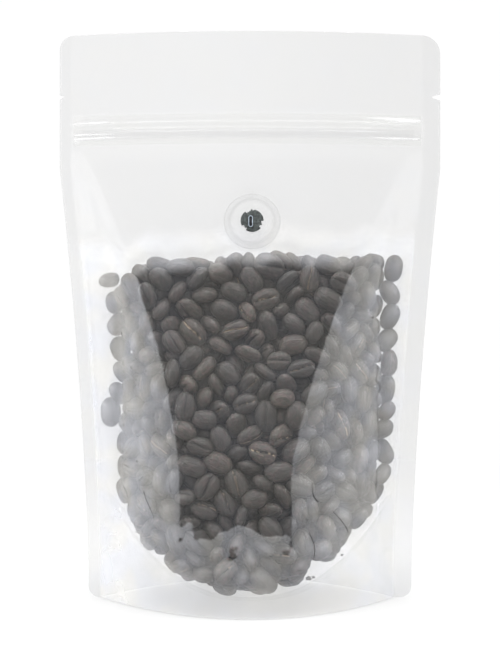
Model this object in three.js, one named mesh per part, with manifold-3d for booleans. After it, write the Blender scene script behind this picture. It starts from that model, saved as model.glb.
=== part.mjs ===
// A clear stand-up pouch of roasted coffee beans, standing on its opened bottom gusset.
//
// Millimetres, +Z up, +X to the right. The front panel faces -Y, and the origin is on the
// floor under the middle of the pouch. Film and contents are one closed solid; the press-to-close
// zip and the degassing valve are pieces of their own, 0.3 mm clear of it.

import * as THREE from "three";
import { mergeVertices } from "three/addons/utils/BufferGeometryUtils.js";
import Module from "manifold-3d";

// ---- Driving dimensions ----------------------------------------------------------------------

const POUCH_HEIGHT = 222.5;
const HEADER_HALF_WIDTH = 75.5; // the flat pouch is 151 wide
const BASE_HALF_WIDTH = 64; // it draws in to 128 where the gusset is open
const SHOULDER_HEIGHT = 170; // above this the side edges run straight up
const NARROWING = 1.6; // how late the edges draw in on the way up from the floor

const SEAL_LEFT = 4.8; // the web was cut a little to one side, so the two seals differ
const SEAL_RIGHT = 7.1;
const SEAL_THICKNESS = 0.8;
const HEADER_THICKNESS = 1.2;
const SEAL_STEP = 0.8; // width of the step between a seal and the loose film

const BASE_DEPTH = 35; // half the depth of the opened base
const BULGE_TOP = 177.5; // the two panels meet here, just under the zip
const BULGE_POWER = 1.9;
const HEADER_BOW = 9; // the flat top curves forward, between its two side edges
const BOW_START = 100;

// The front and back panels are a flat facet between two creases, a slanted facet on each side
// of it, and a slim fin along each side seal, one bean deep.
const CREASE_FOOT = 45; // below this height the creases run straight down and fade out
const CREASE_LEFT = { foot: 26, flare: 37, power: 1.7 };
const CREASE_RIGHT = { foot: 15, flare: 45, power: 1.55 };
const CREASE_SOFTNESS = 0.16; // share of the depth over which a crease is rounded
const SIDE_FULLNESS = 0.85; // under 1 the side facets are swollen by the beans
const FIN_EDGE = 51; // the fins begin this far from the middle
const FIN_SWELL = 4.6; // half the thickness of the pouch there
const FIN_ROUNDNESS = 1.5; // over 1 the fins stay swollen nearly to the seal

const GUSSET_RISE = 37; // how far the base seal climbs from the middle to the side seals
const BASE_SEAL = 8; // height of the bottom seal at the middle
const BASE_SEAL_POWER = 2.2;
const GUSSET_SAG = 10; // the loaded gusset film falls this far below its seals, to a middle fold
const SKIRT_THICKNESS = 1.2;

const TOP_RADIUS_LEFT = 5.5;
const TOP_RADIUS_RIGHT = 7;
const BOTTOM_RADIUS = 4.5;
const NOTCH_HEIGHT = 198.3; // tear notches in both side seals
const NOTCH_LEFT = { depth: 1.4, height: 1.6 };
const NOTCH_RIGHT = { depth: 3.4, height: 2.4 };

const GAP = 0.3; // between neighbouring solids

const ZIP_HEIGHT = 184.6;
const ZIP_TAPE = { height: 11.8, thickness: 0.5 };
const ZIP_RIDGE = { height: 1.8, proud: 0.8, spacing: 3.7 };
const ZIP_RIB = { height: 0.7, proud: 0.25, spacing: 8 };
const ZIP_END = 0.8; // the rails stop this far inside the side seals

const VALVE_X = 0.8;
const VALVE_HEIGHT = 147.7;
const VALVE_FLANGE_RADIUS = 10.9;
const VALVE_FLANGE_THICKNESS = 0.7;
const VALVE_OUTER_STEP = { radius: 8.8, rise: 0.5 };
const VALVE_RIM = { radius: 6.9, rise: 1.0 };
const VALVE_WELL = { radius: 5.0, floor: 0.55 };
const MEMBRANE = { radius: 4.4, thickness: 0.35 };
const MEMBRANE_BITES = [
  { angle: 108, width: 34, depth: 0.42 },
  { angle: 222, width: 20, depth: 0.7 },
  { angle: -22, width: 22, depth: 0.45 },
]; // places where the edge of the dark disc is eaten away, in degrees from +X
const SLOT = { length: 4.5, width: 1.9, bead: 0.5, thickness: 0.35, x: -0.55, z: -0.4 };

// ---- Form of the pouch -----------------------------------------------------------------------

const clamp01 = (t) => Math.min(1, Math.max(0, t));
const smooth = (t) => clamp01(t) ** 2 * (3 - 2 * clamp01(t));

// The smaller of a and b, with the corner between them rounded over the width k.
function softMin(a, b, k) {
  const h = Math.max(k - Math.abs(a - b), 0) / k;
  return Math.min(a, b) - (h * h * k) / 4;
}

function halfWidth(z) {
  const t = Math.max(0, Math.min(z, SHOULDER_HEIGHT)) / SHOULDER_HEIGHT;
  return BASE_HALF_WIDTH + (HEADER_HALF_WIDTH - BASE_HALF_WIDTH) * t ** NARROWING;
}

// Where the loose film ends and the side seal begins, as a distance from the middle.
function sealEdge(side, z) {
  return halfWidth(z) - (side < 0 ? SEAL_LEFT : SEAL_RIGHT);
}

function creaseEdge(side, z) {
  const crease = side < 0 ? CREASE_LEFT : CREASE_RIGHT;
  const t = Math.max(0, z - CREASE_FOOT) / (SHOULDER_HEIGHT - CREASE_FOOT);
  const free = crease.foot + crease.flare * t ** crease.power;
  return Math.min(free, sealEdge(side, z) - 4);
}

function bulge(z) {
  const t = clamp01(Math.max(0, z) / BULGE_TOP);
  return BASE_DEPTH * (1 - t ** BULGE_POWER);
}

function bow(x, z) {
  const share = smooth((z - BOW_START) / (BULGE_TOP - BOW_START));
  return HEADER_BOW * share * (1 - (x / halfWidth(z)) ** 2);
}

function finEdge(side, z) {
  return Math.max(FIN_EDGE, (creaseEdge(side, z) + sealEdge(side, z)) / 2);
}

// Share of the full bulge on the facets, out at x: nothing at the seal, all of it at the crease.
function facetShare(x, z) {
  const side = Math.sign(x) || 1;
  const seal = sealEdge(side, z);
  const crease = creaseEdge(side, z);
  const fin = finEdge(side, z);
  const finShare = Math.min(FIN_SWELL / Math.max(bulge(z), 1), 0.4);
  if (Math.abs(x) > fin) {
    const past = clamp01((Math.abs(x) - fin) / (seal - fin));
    return finShare * (1 - past ** FIN_ROUNDNESS);
  }
  const t = (fin - Math.abs(x)) / (fin - crease);
  const slant = t > 1 ? t : t ** SIDE_FULLNESS;
  return softMin(1, finShare + (1 - finShare) * slant, CREASE_SOFTNESS);
}

// Share of the full bulge at x: a plain curve at the floor, the creased facets further up.
function fullness(x, z) {
  const curve = clamp01(1 - (x / sealEdge(Math.sign(x) || 1, z)) ** 2);
  const creased = smooth(z / CREASE_FOOT);
  return facetShare(x, z) * creased + curve * (1 - creased);
}

// Half the thickness of the film stack where nothing fills it.
function halfStack(x, z) {
  const inside = sealEdge(Math.sign(x) || 1, z) - Math.abs(x);
  return SEAL_THICKNESS / 2 + ((HEADER_THICKNESS - SEAL_THICKNESS) / 2) * clamp01(inside / SEAL_STEP);
}

// y of the outer face of the front (face = -1) or the back (face = 1) panel.
function panelY(x, z, face) {
  return face * (halfStack(x, z) + bulge(z) * fullness(x, z)) - bow(x, z);
}

// Height of the seal between a panel and the gusset, lowest in the middle.
function baseSeal(x) {
  return BASE_SEAL + GUSSET_RISE * (Math.abs(x) / (BASE_HALF_WIDTH - SEAL_LEFT)) ** BASE_SEAL_POWER;
}

// Height of the gusset film at x, at the share t of the way from the middle to a panel.
function gussetHeight(x, t) {
  const edge = BASE_HALF_WIDTH - SEAL_RIGHT;
  const sag = GUSSET_SAG * clamp01(1 - (x / edge) ** 4);
  return baseSeal(x) - sag * (1 - t);
}

// ---- Solids ----------------------------------------------------------------------------------

const wasm = await Module();
wasm.setup();

function toManifold(geometry) {
  const bare = new THREE.BufferGeometry();
  bare.setAttribute("position", geometry.getAttribute("position"));
  if (geometry.index) bare.setIndex(geometry.index);
  const merged = mergeVertices(bare, 1e-4);
  return new wasm.Manifold(
    new wasm.Mesh({
      numProp: 3,
      vertProperties: new Float32Array(merged.attributes.position.array),
      triVerts: new Uint32Array(merged.index.array),
    }),
  );
}

function toGeometry(solid) {
  const mesh = solid.getMesh();
  const geometry = new THREE.BufferGeometry();
  geometry.setAttribute("position", new THREE.BufferAttribute(mesh.vertProperties, 3));
  geometry.setIndex(new THREE.BufferAttribute(mesh.triVerts, 1));
  geometry.computeVertexNormals();
  return geometry;
}

// A closed skin over a row of flat rings of equally many points, each anticlockwise seen from
// the far end of the row. `flat` leaves out the axis along which the rings follow each other.
function skin(rings, flat) {
  const count = rings[0].length;
  const points = rings.flat().flatMap((p) => [p.x, p.y, p.z]);
  const faces = [];
  for (let r = 0; r + 1 < rings.length; r += 1) {
    for (let i = 0; i < count; i += 1) {
      const a = r * count + i;
      const b = r * count + ((i + 1) % count);
      faces.push(a, b, b + count, a, b + count, a + count);
    }
  }
  const last = (rings.length - 1) * count;
  const cap = THREE.ShapeUtils.triangulateShape(rings[0].map(flat), []);
  const endCap = THREE.ShapeUtils.triangulateShape(rings.at(-1).map(flat), []);
  cap.forEach(([a, b, c]) => faces.push(a, c, b));
  endCap.forEach(([a, b, c]) => faces.push(last + a, last + b, last + c));
  const geometry = new THREE.BufferGeometry();
  geometry.setAttribute("position", new THREE.Float32BufferAttribute(points, 3));
  geometry.setIndex(faces);
  return geometry;
}

// Even steps from a to b, with both ends.
const steps = (a, b, count) => Array.from({ length: count + 1 }, (_, i) => a + ((b - a) * i) / count);

// The x stations of one cross-section, from edge to edge, closer together along the creases.
function stations(z) {
  const edge = halfWidth(z) + 1; // a little over, for the outline to trim
  const list = [-edge];
  const half = (side) => {
    const seal = sealEdge(side, z);
    const crease = creaseEdge(side, z);
    const fin = finEdge(side, z);
    const round = Math.min(4, (fin - crease) / 3);
    return [
      seal,
      seal - SEAL_STEP,
      ...steps(seal - SEAL_STEP, fin, 2).slice(1),
      ...steps(fin, crease + round, 4).slice(1),
      ...steps(crease + round, crease - round, 4).slice(1),
      ...steps(crease - round, 0, 4).slice(1, -1),
    ];
  };
  list.push(...half(-1).map((x) => -x), 0, ...half(1).reverse(), edge);
  return list;
}

// The uncut pouch: both panels with what they hold, from under the floor to over the top.
function blank() {
  const levels = [
    -1,
    ...steps(0, BULGE_TOP - 12, 28),
    ...steps(BULGE_TOP - 12, BULGE_TOP, 4).slice(1),
    ...steps(BULGE_TOP, POUCH_HEIGHT + 1, 3).slice(1),
  ];
  const rings = levels.map((z) => {
    const xs = stations(z);
    const front = xs.map((x) => new THREE.Vector3(x, panelY(x, z, -1), z));
    const back = xs.map((x) => new THREE.Vector3(x, panelY(x, z, 1), z)).reverse();
    return [...front, ...back];
  });
  return toManifold(skin(rings, (p) => new THREE.Vector2(p.x, p.y)));
}

// Adds one side of the outline, with its tear notch, to a list of [x, z] points.
function sidePoints(side, from, to, notch) {
  const at = (z) => [side * halfWidth(z), z];
  const low = NOTCH_HEIGHT - notch.height / 2;
  const high = NOTCH_HEIGHT + notch.height / 2;
  const tip = side * (HEADER_HALF_WIDTH - notch.depth);
  const blunt = notch.height / 5;
  return [
    ...steps(from, SHOULDER_HEIGHT, 16).map(at),
    at(low),
    [tip, NOTCH_HEIGHT - blunt],
    [tip, NOTCH_HEIGHT + blunt],
    at(high),
    at(to),
  ];
}

function arcPoints(cx, cz, radius, fromDegrees, toDegrees) {
  return steps(fromDegrees, toDegrees, 6).map((degrees) => {
    const a = THREE.MathUtils.degToRad(degrees);
    return [cx + radius * Math.cos(a), cz + radius * Math.sin(a)];
  });
}

// What the die cuts: rounded corners, drawn-in sides, a tear notch on each side.
function outline() {
  const top = POUCH_HEIGHT;
  const right = HEADER_HALF_WIDTH - TOP_RADIUS_RIGHT;
  const left = HEADER_HALF_WIDTH - TOP_RADIUS_LEFT;
  const foot = halfWidth(BOTTOM_RADIUS) - BOTTOM_RADIUS;
  const points = [
    ...arcPoints(foot, BOTTOM_RADIUS, BOTTOM_RADIUS, -90, -8),
    ...sidePoints(1, BOTTOM_RADIUS, top - TOP_RADIUS_RIGHT - 0.5, NOTCH_RIGHT),
    ...arcPoints(right, top - TOP_RADIUS_RIGHT, TOP_RADIUS_RIGHT, 0, 90),
    ...arcPoints(-left, top - TOP_RADIUS_LEFT, TOP_RADIUS_LEFT, 90, 180),
    ...sidePoints(-1, BOTTOM_RADIUS, top - TOP_RADIUS_LEFT - 0.5, NOTCH_LEFT).reverse(),
    ...arcPoints(-foot, BOTTOM_RADIUS, BOTTOM_RADIUS, 188, 270),
  ];
  const shape = new THREE.Shape(points.map(([x, z]) => new THREE.Vector2(x, z)));
  const depth = 4 * BASE_DEPTH;
  const plate = new THREE.ExtrudeGeometry(shape, { depth, bevelEnabled: false });
  plate.rotateX(Math.PI / 2).translate(0, depth / 2, 0);
  return toManifold(plate);
}

// The hollow under the gusset film, inside the skirt that the pouch stands on.
function underGusset() {
  const reach = BASE_HALF_WIDTH - SEAL_RIGHT - 1;
  const rows = steps(-reach, reach, 30);
  const shares = steps(1, -1, 12);
  const rings = rows.map((x) => {
    const roof = shares.map((t) => {
      const z = Math.max(gussetHeight(x, Math.abs(t)), -0.5);
      const wall = Math.max(panelY(x, Math.max(z, 0), 1) - SKIRT_THICKNESS, 0.3);
      return new THREE.Vector3(x, t * wall, z);
    });
    const foot = Math.max(panelY(x, 0, 1) - SKIRT_THICKNESS, 0.3);
    const floor = [new THREE.Vector3(x, -foot, -2), new THREE.Vector3(x, foot, -2)];
    return [...roof, ...floor];
  });
  return toManifold(skin(rings, (p) => new THREE.Vector2(p.y, p.z)));
}

// The valve's own frame: origin on the front panel, +Z out of it.
function valvePlacement() {
  const rise = 5;
  const y = (dz) => panelY(VALVE_X, VALVE_HEIGHT + dz, -1);
  const lean = Math.atan2(y(rise) - y(-rise), 2 * rise);
  const placement = new THREE.Object3D();
  placement.position.set(VALVE_X, y(0), VALVE_HEIGHT);
  placement.rotation.x = Math.PI / 2 - lean;
  placement.updateMatrix();
  return placement;
}

// A round piece from a profile of [radius, height] that starts and ends on the axis.
function turned(profile, segments) {
  const points = profile.map(([radius, height]) => new THREE.Vector2(radius, height));
  return new THREE.LatheGeometry(points, segments).rotateX(Math.PI / 2);
}

// The seat that the valve's flange lies in, flush with the film.
function valveSeat() {
  const radius = VALVE_FLANGE_RADIUS + GAP;
  const floor = -VALVE_FLANGE_THICKNESS - GAP;
  const seat = turned([[0, floor], [radius, floor], [radius, 5], [0, 5]], 40);
  seat.applyMatrix4(valvePlacement().matrix);
  return toManifold(seat);
}

function pouchSolid() {
  return blank().intersect(outline()).subtract(underGusset()).subtract(valveSeat());
}

// ---- Zip -------------------------------------------------------------------------------------

// Outline of one zip tape as [out, up]: flat on the film side, ridged on the other.
function zipProfile() {
  const { height, thickness } = ZIP_TAPE;
  const bump = (centre, size) => [
    [thickness, centre - size.height / 2],
    [thickness + size.proud * 0.85, centre - size.height * 0.3],
    [thickness + size.proud, centre],
    [thickness + size.proud * 0.85, centre + size.height * 0.3],
    [thickness, centre + size.height / 2],
  ];
  return [
    [0, -height / 2],
    [thickness, -height / 2],
    ...bump(-ZIP_RIB.spacing / 2, ZIP_RIB),
    ...bump(-ZIP_RIDGE.spacing / 2, ZIP_RIDGE),
    ...bump(ZIP_RIDGE.spacing / 2, ZIP_RIDGE),
    ...bump(ZIP_RIB.spacing / 2, ZIP_RIB),
    [thickness, height / 2],
    [0, height / 2],
  ];
}

function zipRail(face) {
  const from = -(sealEdge(-1, ZIP_HEIGHT) - ZIP_END);
  const to = sealEdge(1, ZIP_HEIGHT) - ZIP_END;
  const profile = zipProfile();
  const rings = steps(from, to, 22).map((x) => {
    const ring = profile.map(([out, up]) => {
      const film = face * (HEADER_THICKNESS / 2 + GAP) - bow(x, ZIP_HEIGHT);
      return new THREE.Vector3(x, film + face * out, ZIP_HEIGHT + up);
    });
    return face < 0 ? ring.reverse() : ring;
  });
  return skin(rings, (p) => new THREE.Vector2(p.y, p.z));
}

// ---- Valve -----------------------------------------------------------------------------------

function valveBody() {
  const back = -VALVE_FLANGE_THICKNESS;
  const outer = VALVE_OUTER_STEP;
  const rim = VALVE_RIM;
  const well = VALVE_WELL;
  return turned(
    [
      [0, back],
      [VALVE_FLANGE_RADIUS, back],
      [VALVE_FLANGE_RADIUS, 0],
      [outer.radius + 0.5, 0],
      [outer.radius, outer.rise],
      [outer.radius - 0.7, outer.rise],
      [rim.radius + 0.4, outer.rise * 0.3],
      [rim.radius, rim.rise],
      [well.radius + 0.3, rim.rise],
      [well.radius, well.floor],
      [0, well.floor],
    ],
    48,
  );
}

// The dark disc in the well, with its eaten edge.
function membrane() {
  const points = steps(0, 360, 60).slice(0, -1).map((degrees) => {
    const bite = MEMBRANE_BITES.reduce((sum, { angle, width, depth }) => {
      const away = Math.abs(THREE.MathUtils.euclideanModulo(degrees - angle + 180, 360) - 180);
      return sum + depth * smooth(1 - away / width);
    }, 0);
    const a = THREE.MathUtils.degToRad(degrees);
    const radius = MEMBRANE.radius - bite;
    return new THREE.Vector2(radius * Math.cos(a), radius * Math.sin(a));
  });
  const shape = new THREE.Shape(points);
  const disc = new THREE.ExtrudeGeometry(shape, { depth: MEMBRANE.thickness, bevelEnabled: false });
  return disc.translate(0, 0, VALVE_WELL.floor + GAP);
}

// A slot with round ends, as a closed path.
function stadium(path, length, width) {
  const r = width / 2;
  const straight = length / 2 - r;
  path.absarc(0, straight, r, 0, Math.PI, false);
  path.absarc(0, -straight, r, Math.PI, 2 * Math.PI, false);
  path.closePath();
  return path;
}

function slotBead() {
  const shape = stadium(new THREE.Shape(), SLOT.length, SLOT.width);
  shape.holes.push(stadium(new THREE.Path(), SLOT.length - 2 * SLOT.bead, SLOT.width - 2 * SLOT.bead));
  const bead = new THREE.ExtrudeGeometry(shape, {
    depth: SLOT.thickness,
    bevelEnabled: false,
    curveSegments: 8,
  });
  const height = VALVE_WELL.floor + MEMBRANE.thickness + 2 * GAP;
  return bead.translate(SLOT.x, SLOT.z, height);
}

// ---- Assembly --------------------------------------------------------------------------------

const filmMaterial = new THREE.MeshStandardMaterial({
  color: 0xd9dadb,
  roughness: 0.3,
  transparent: true,
  opacity: 0.6,
});
const zipMaterial = new THREE.MeshStandardMaterial({ color: 0xe9ebea, roughness: 0.35 });
const valveMaterial = new THREE.MeshStandardMaterial({ color: 0xeceeec, roughness: 0.4 });
const membraneMaterial = new THREE.MeshStandardMaterial({ color: 0x1d2224, roughness: 0.3 });
const beadMaterial = new THREE.MeshStandardMaterial({ color: 0x9aa3ad, roughness: 0.4 });

function piece(name, geometry, material) {
  const mesh = new THREE.Mesh(geometry, material);
  mesh.name = name;
  return mesh;
}

const part = new THREE.Group();
part.add(piece("pouch", toGeometry(pouchSolid()), filmMaterial));
part.add(piece("zip_front", zipRail(-1), zipMaterial));
part.add(piece("zip_back", zipRail(1), zipMaterial));

const valve = new THREE.Group();
valve.position.copy(valvePlacement().position);
valve.rotation.copy(valvePlacement().rotation);
valve.add(piece("valve_body", valveBody(), valveMaterial));
valve.add(piece("valve_membrane", membrane(), membraneMaterial));
valve.add(piece("valve_slot", slotBead(), beadMaterial));
part.add(valve);

export default part;
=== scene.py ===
import math
from functools import partial

import bpy
import numpy as np
from mathutils.bvhtree import BVHTree
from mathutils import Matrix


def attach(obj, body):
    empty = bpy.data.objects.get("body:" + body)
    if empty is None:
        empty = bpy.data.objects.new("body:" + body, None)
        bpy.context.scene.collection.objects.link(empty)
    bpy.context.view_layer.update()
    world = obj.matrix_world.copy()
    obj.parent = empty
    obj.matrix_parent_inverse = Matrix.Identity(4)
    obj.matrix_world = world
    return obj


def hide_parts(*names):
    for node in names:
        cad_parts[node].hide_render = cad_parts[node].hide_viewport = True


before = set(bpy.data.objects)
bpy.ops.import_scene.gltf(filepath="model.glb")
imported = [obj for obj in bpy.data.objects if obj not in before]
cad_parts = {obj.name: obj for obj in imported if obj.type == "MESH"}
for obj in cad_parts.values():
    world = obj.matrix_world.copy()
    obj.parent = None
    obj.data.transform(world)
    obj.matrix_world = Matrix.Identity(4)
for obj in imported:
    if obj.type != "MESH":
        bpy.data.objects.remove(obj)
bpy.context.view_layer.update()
mm = 0.001


# small helpers

def hexColour(text):  # sRGB hex to the linear colour that a socket takes
    parts = [int(text[i : i + 2], 16) / 255 for i in (1, 3, 5)]
    return [c / 12.92 if c <= 0.04045 else ((c + 0.055) / 1.055) ** 2.4 for c in parts] + [1.0]


def smooth(t):
    t = np.clip(t, 0, 1)
    return t * t * (3 - 2 * t)


def bump(t):  # 1 at the middle, 0 from one unit out
    return smooth(1 - np.abs(t))


def softMin(a, b, width):
    h = np.maximum(width - np.abs(a - b), 0) / width
    return np.minimum(a, b) - h * h * width / 4


def blurred(values, rounds):
    for _ in range(rounds):
        wide = np.pad(values, 1, mode="edge")
        around = wide[:-2, 1:-1] + wide[2:, 1:-1] + wide[1:-1, :-2] + wide[1:-1, 2:]
        values = (around + 2 * values) / 6
    return values


def ripple(x, z, wave, seed):  # slow unevenness between -1 and 1, with waves about this long
    rng = np.random.default_rng(seed)
    total = 0
    for _ in range(5):
        angle, phase, stretch = rng.uniform(0, 2 * math.pi, 3)
        size = wave * (0.7 + 0.12 * stretch)
        total = total + np.sin((x * math.cos(angle) + z * math.sin(angle)) * 2 * math.pi / size + phase)
    return total / 3.2


def addNode(tree, kind, inputs=(), operation=None, out=None, **settings):  # inputs: values or sockets
    node = tree.nodes.new("ShaderNode" + kind)
    if operation:
        node.operation = operation
    for key, value in settings.items():
        setattr(node, key, value)
    for key, value in (inputs if isinstance(inputs, dict) else dict(enumerate(inputs))).items():
        if isinstance(value, bpy.types.NodeSocket):
            tree.links.new(value, node.inputs[key])
        else:
            node.inputs[key].default_value = hexColour(value) if isinstance(value, str) else value
    return node.outputs[out] if out else next((socket for socket in node.outputs if socket.enabled), None)


def closedRings(rings, ends):  # a closed solid from rings of points and a point at each end
    count = len(rings[0])
    points = np.concatenate(rings + [ends])
    index = np.arange(count * len(rings)).reshape(-1, count)
    after = np.roll(index, -1, 1)
    faces = np.stack([index[:-1], after[:-1], after[1:], index[1:]], -1).reshape(-1, 4).tolist()
    faces += [[len(points) - 2, after[0, i], index[0, i]] for i in range(count)]
    faces += [[len(points) - 1, index[-1, i], after[-1, i]] for i in range(count)]
    return points, faces


def copiesOf(faces, number, step):  # the same faces on that many bodies of this many points
    return [[k + step * body for k in face] for body in range(number) for face in faces]


def levelRing(turn, radius, height):
    return np.stack([radius * np.cos(turn), radius * np.sin(turn), 0 * turn + height], -1)


def newMaterial(name):
    material = bpy.data.materials.new(name)
    material.use_nodes = True
    material.node_tree.nodes.clear()
    return material, partial(addNode, material.node_tree)


def makePiece(name, points, faces, material, nodes, tones=None):
    faces = faces if isinstance(faces, list) else faces.tolist()
    mesh = bpy.data.meshes.new(name)
    mesh.from_pydata((np.asarray(points, dtype=float) * mm).tolist(), [], faces)
    for key, values in (tones or {}).items():
        values = np.asarray(values, dtype=np.float32)
        kind, field = ("FLOAT_VECTOR", "vector") if values.ndim > 1 else ("FLOAT", "value")
        mesh.attributes.new(key, kind, "POINT").data.foreach_set(field, values.ravel())
    mesh.polygons.foreach_set("use_smooth", [True] * len(mesh.polygons))
    mesh.materials.append(material)
    mesh.update()
    piece = bpy.data.objects.new(name, mesh)
    bpy.context.collection.objects.link(piece)
    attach(piece, "root")
    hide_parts(*nodes)
    return piece


# form of the pouch

pouchForm = {
    "height": 222.5,
    "headerHalfWidth": 75.5,
    "baseHalfWidth": 64,
    "shoulder": 170,  # the side edges run straight above this
    "narrowing": 1.6,
    "sealLeft": 4.8,
    "sealRight": 7.1,
    "baseDepth": 35,
    "bulgeTop": 177.5,
    "bulgePower": 1.9,
    "bow": 9,
    "bowStart": 100,
    "creaseFoot": 45,
    "creaseLeft": (26, 37, 1.7),  # at the foot, how far it flares, how late
    "creaseRight": (15, 45, 1.55),
    "creaseSoft": 0.16,
    "sideFullness": 0.85,
    "finEdge": 51,
    "finSwell": 4.6,
    "finRoundness": 1.5,
    "baseSeal": 8,
    "gussetRise": 37,
    "baseSealPower": 2.2,
    "gussetSag": 10,
}


def halfWidth(z):
    p = pouchForm
    t = np.clip(z, 0, p["shoulder"]) / p["shoulder"]
    return p["baseHalfWidth"] + (p["headerHalfWidth"] - p["baseHalfWidth"]) * t ** p["narrowing"]


def sealEdge(x, z):
    return halfWidth(z) - np.where(np.asarray(x) < 0, pouchForm["sealLeft"], pouchForm["sealRight"])


def creaseEdge(x, z):
    p = pouchForm
    t = np.maximum(0, z - p["creaseFoot"]) / (p["shoulder"] - p["creaseFoot"])
    left, right = [foot + flare * t**late for foot, flare, late in (p["creaseLeft"], p["creaseRight"])]
    return np.minimum(np.where(np.asarray(x) < 0, left, right), sealEdge(x, z) - 4)


def finLine(x, z):
    return np.maximum(pouchForm["finEdge"], (creaseEdge(x, z) + sealEdge(x, z)) / 2)


def bulge(z):
    t = np.clip(z / pouchForm["bulgeTop"], 0, 1)
    return pouchForm["baseDepth"] * (1 - t ** pouchForm["bulgePower"])


def bow(x, z):
    p = pouchForm
    share = smooth((z - p["bowStart"]) / (p["bulgeTop"] - p["bowStart"]))
    return p["bow"] * share * (1 - (x / halfWidth(z)) ** 2)


def fullness(x, z):
    p = pouchForm
    out = np.abs(x)
    seal, crease, fin = sealEdge(x, z), creaseEdge(x, z), finLine(x, z)
    finShare = np.minimum(p["finSwell"] / np.maximum(bulge(z), 1), 0.4)
    t = np.maximum((fin - out) / (fin - crease), 0)
    slant = np.where(t > 1, t, t ** p["sideFullness"])
    facets = softMin(1, finShare + (1 - finShare) * slant, p["creaseSoft"])
    pastFin = np.clip((out - fin) / (seal - fin), 0, 1)
    facets = np.where(out > fin, finShare * (1 - pastFin ** p["finRoundness"]), facets)
    curve = np.clip(1 - (x / seal) ** 2, 0, 1)
    creased = smooth(z / p["creaseFoot"])
    return facets * creased + curve * (1 - creased)


def midToFilm(x, z):  # from the middle surface to the outside of the empty film
    inside = sealEdge(x, z) - np.abs(x)
    return 0.15 + 0.25 * np.clip(inside / 1.5, 0, 1)


def baseSealHeight(x):
    p = pouchForm
    reach = p["baseHalfWidth"] - p["sealLeft"]
    return p["baseSeal"] + p["gussetRise"] * (np.abs(x) / reach) ** p["baseSealPower"]


def gussetHeight(x, t):  # t is the share of the way from the middle to a panel
    edge = pouchForm["baseHalfWidth"] - pouchForm["sealRight"]
    sag = pouchForm["gussetSag"] * np.clip(1 - (x / edge) ** 4, 0, 1)
    return baseSealHeight(x) - sag * (1 - np.abs(t))


# film

filmSheet = {
    "thickness": 0.12,
    "columns": 150,
    "cornerLeft": 5.5,
    "cornerRight": 7,
    "cornerBottom": 4.5,
    "notchHeight": 198.3,
    "notchLeft": (1.4, 1.6),  # depth and height
    "notchRight": (3.4, 2.4),
    "giveWay": 1.1,  # how far it sinks in between the beans
    "atBean": 0.5,  # from its outside to a bean that it lies on
}

zipForm = {
    "height": 184.6,
    "tape": 11.8,
    "tapeProud": 0.8,
    "tapeSlope": 1.4,
    "ridges": (1.9, 0.7, 3.7),  # half width, height and spacing of the pair
    "ribs": (0.8, 0.22, 8),
    "track": (-1.7, 2.3, 0.9),  # middle, half height and soft edge of its dark band
    "endMargin": 0.8,
    "crushed": 5,  # the last stretch, flattened in the side seal
}

valveForm = {
    "x": 0.8,
    "z": 147.7,
    "stand": 0.6,  # from the form to the underside of the dome
    "flange": 10.9,
    "seat": 0.75,  # how far the film is pressed in under the flange
    "profile": [
        (0, -0.64), (10.4, -0.64), (10.78, -0.54), (10.9, -0.34), (10.8, -0.1), (10.5, 0), (9.5, 0.02),
        (9.15, 0.1), (8.95, 0.34), (8.8, 0.46), (8.5, 0.5), (8.15, 0.46), (7.8, 0.3), (7.45, 0.18),
        (7.15, 0.3), (7.0, 0.72), (6.85, 0.93), (6.55, 1.0), (5.65, 1.0), (5.4, 0.93), (5.18, 0.7),
        (5.0, 0.57), (4.75, 0.55), (0, 0.55),
    ],  # radius and height, from the back of the flange to the floor of the well
    "edges": [(8.75, 0.8, 0.9), (10.75, 0.4, 0.6)],  # radius, width and darkness of the painted shade at its two steps
    "membraneRadius": 4.4,
    "membrane": (0.85, 1.18),  # bottom and top
    "bites": [(112, 15, 0.7), (84, 4, 0.3), (222, 15, 0.8), (-9, 9, 0.9), (-22, 5, 0.45), (-34, 8, 0.9)],
    "bead": {"x": -0.55, "z": -0.4, "length": 4.5, "width": 1.75, "thick": 0.32, "height": (1.5, 1.84)},
}


def zipReach(x, z):  # 1 along the zip, falling to 0 where the side seal has flattened it
    end = sealEdge(x, z) - zipForm["endMargin"]
    return smooth((end - np.abs(x)) / zipForm["crushed"])


def zipRelief(x, z):
    p = zipForm
    up = z - p["height"]
    relief = smooth((p["tape"] / 2 + p["tapeSlope"] - np.abs(up)) / (2 * p["tapeSlope"])) * p["tapeProud"]
    for wide, high, apart in (p["ridges"], p["ribs"]):
        relief = relief + high * sum(bump((up - side * apart / 2) / wide) for side in (-1, 1))
    return relief * (0.2 + 0.8 * zipReach(x, z)) * (np.abs(x) < sealEdge(x, z) + 1)


def filmY(x, z, face):  # outside of the front (-1) or back (1) film
    y = midToFilm(x, z) + bulge(z) * fullness(x, z) + zipRelief(x, z)
    if face < 0:
        away = np.hypot(x - valveForm["x"], z - valveForm["z"])
        y = y - valveForm["seat"] * smooth((valveForm["flange"] + 2.6 - away) / 2.4)
    return face * y - bow(x, z)


def outlineEdge(side, z):  # the die-cut edge, with round corners and a tear notch
    p = filmSheet
    corner = p["cornerLeft"] if side < 0 else p["cornerRight"]
    depth, high = p["notchLeft"] if side < 0 else p["notchRight"]
    over = np.clip(z - (pouchForm["height"] - corner), 0, corner)
    under = np.clip(p["cornerBottom"] - z, 0, p["cornerBottom"])
    edge = halfWidth(z) - (corner - np.sqrt(corner**2 - over**2))
    edge = edge - (p["cornerBottom"] - np.sqrt(p["cornerBottom"] ** 2 - under**2))
    notch = np.clip(1.25 - 1.25 * np.abs(z - p["notchHeight"]) / (high / 2), 0, 1)
    return edge - depth * notch


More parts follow.
